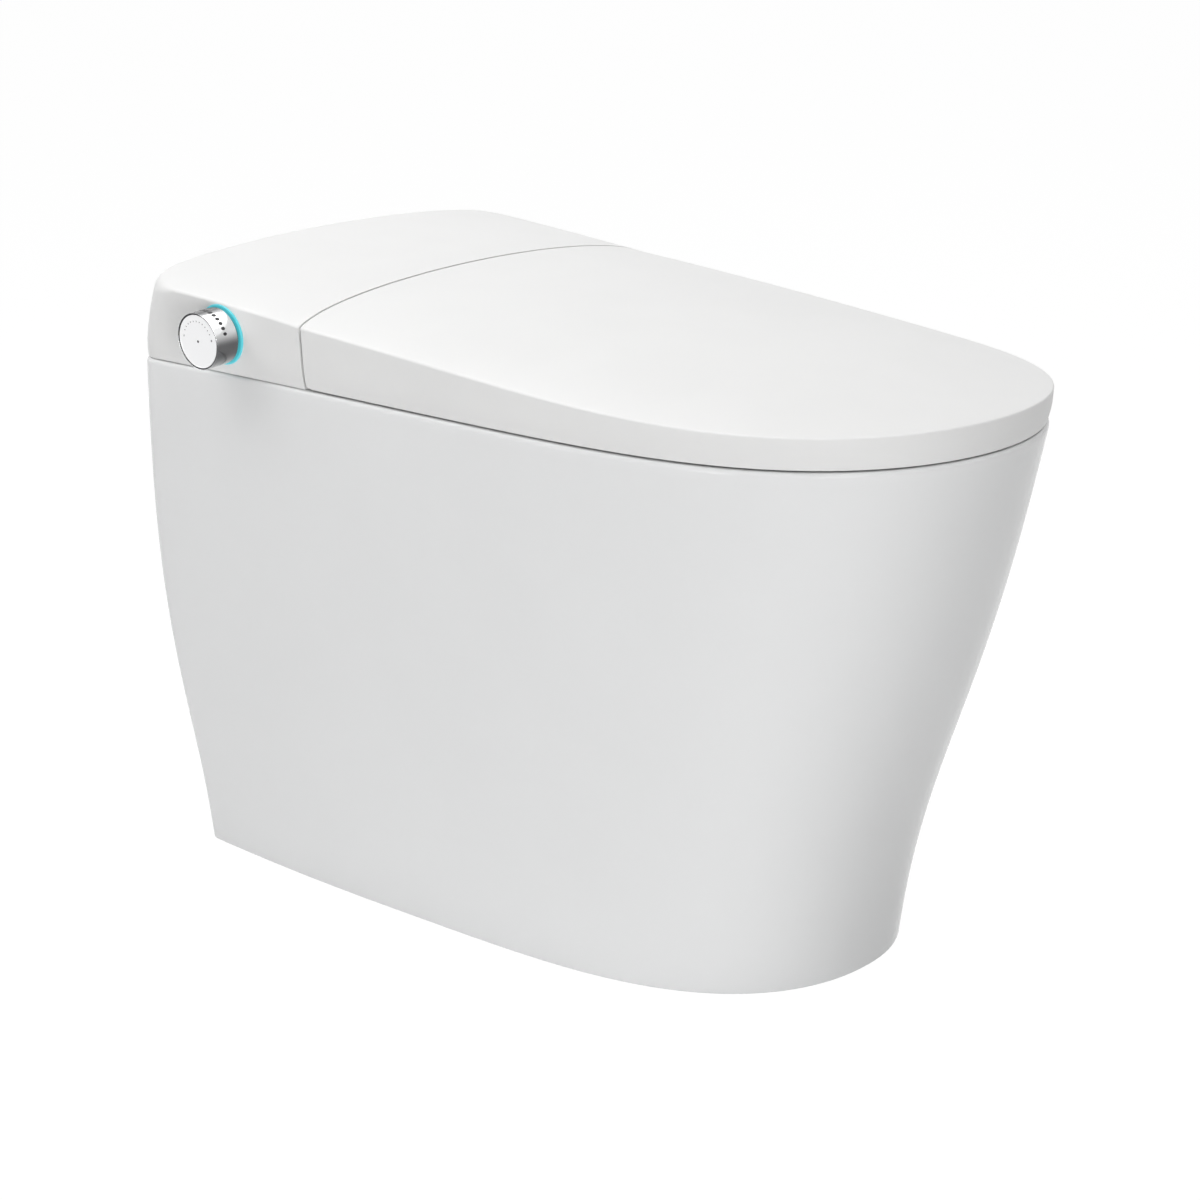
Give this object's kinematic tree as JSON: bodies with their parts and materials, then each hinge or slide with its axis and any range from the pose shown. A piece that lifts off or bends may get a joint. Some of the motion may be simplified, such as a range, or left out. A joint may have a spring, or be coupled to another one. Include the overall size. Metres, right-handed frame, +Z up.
{
  "type": "tankless smart toilet",
  "caption": "One-piece skirted smart toilet with crowned soft-close lid over a heated seat ring, side control dial, wash wands and floor outlet.",
  "frame": {"origin": "centre of the floor waste outlet, on the floor", "axes": "+Z up, -Y to the front of the bowl, +Y to the wall, -X to the side that carries the dial"},
  "size_m": [0.4308, 0.7002, 0.5074],
  "materials": {
    "glazed_ceramic": "glossy glaze",
    "white_shell": "satin gloss",
    "white_plastic": "satin",
    "grey_plastic": "matte",
    "dark_plastic": "matte",
    "black_rubber": "matte",
    "white_rubber": "matte",
    "steel": "brushed",
    "chrome": "polished",
    "silver_face": "satin silver",
    "cyan_light": "lit diffuser",
    "heater_foil": "foil",
    "carbon": "pleated carbon",
    "circuit_green": "solder mask",
    "brass": "machined"
  },
  "bodies": {
    "base": {"pan_shell": "glazed_ceramic", "pan_bowl": "glazed_ceramic", "pan_trapway": "glazed_ceramic", "outlet_adaptor": "grey_plastic", "outlet_gasket": "black_rubber", "chassis": "white_plastic", "chassis_bolts": "steel", "rear_cover": "white_shell", "service_panel": "grey_plastic", "hinge_bracket": "white_plastic", "hinge_pins": "steel", "hinge_damper": "dark_plastic", "light_ring": "cyan_light", "dial_encoder": "dark_plastic", "nozzle_housing": "white_plastic", "wand_motors": "dark_plastic", "dryer_case": "grey_plastic", "dryer_duct": "grey_plastic", "water_heater": "grey_plastic", "diverter": "grey_plastic", "odour_case": "grey_plastic", "odour_filter": "carbon", "control_box": "grey_plastic", "control_board": "circuit_green", "power_supply": "dark_plastic", "inlet_port": "brass", "cord_gland": "black_rubber", "inlet_valve": "brass", "flush_valve": "grey_plastic", "supply_hose": "black_rubber", "rim_hose": "black_rubber", "jet_hose": "black_rubber"},
    "lid": {"lid_shell": "white_shell", "lid_liner": "white_plastic", "lid_bumpers": "white_rubber"},
    "seat": {"seat_top": "white_shell", "seat_base": "white_plastic", "seat_heater": "heater_foil", "seat_bumpers": "white_rubber"},
    "dial": {"dial_ring": "chrome", "dial_shaft": "steel"},
    "dial_button": {"dial_face": "silver_face"},
    "rear_wand": {"wand_rear": "white_plastic"},
    "front_wand": {"wand_front": "white_plastic"},
    "dryer_rotor": {"dryer_wheel": "dark_plastic"},
    "odour_rotor": {"odour_wheel": "dark_plastic"}
  },
  "joints": [
    {"name": "lid_hinge", "type": "hinge", "parent": "base", "child": "lid", "pos_m": [0, 0.0804, 0.48609], "axis": [-1, 0, 0], "range_deg": [0, 105]},
    {"name": "seat_hinge", "type": "hinge", "parent": "base", "child": "seat", "pos_m": [0, 0.0804, 0.48609], "axis": [-1, 0, 0], "range_deg": [0, 97]},
    {"name": "dial_turn", "type": "hinge", "parent": "base", "child": "dial", "pos_m": [-0.20009, 0.186, 0.4588], "axis": [-0.9976, 0, -0.0698], "continuous": true},
    {"name": "dial_press", "type": "slide", "parent": "dial", "child": "dial_button", "axis": [0.9976, 0, 0.0698], "range_m": [0, 0.0015], "stiffness_N_per_m": 900},
    {"name": "rear_wand_slide", "type": "slide", "parent": "base", "child": "rear_wand", "axis": [0, -0.9272, -0.3746], "range_m": [0, 0.095]},
    {"name": "front_wand_slide", "type": "slide", "parent": "base", "child": "front_wand", "axis": [0, -0.9272, -0.3746], "range_m": [0, 0.09]},
    {"name": "dryer_spin", "type": "hinge", "parent": "base", "child": "dryer_rotor", "pos_m": [-0.089, 0.168, 0.44], "axis": [0, 0, 1], "continuous": true},
    {"name": "odour_spin", "type": "hinge", "parent": "base", "child": "odour_rotor", "pos_m": [0.126, 0.226, 0.44], "axis": [0, 0, 1], "continuous": true}
  ],
  "couplings": [
    {"joint": "seat_hinge", "follows": "lid_hinge", "ratio": 0.92}
  ]
}
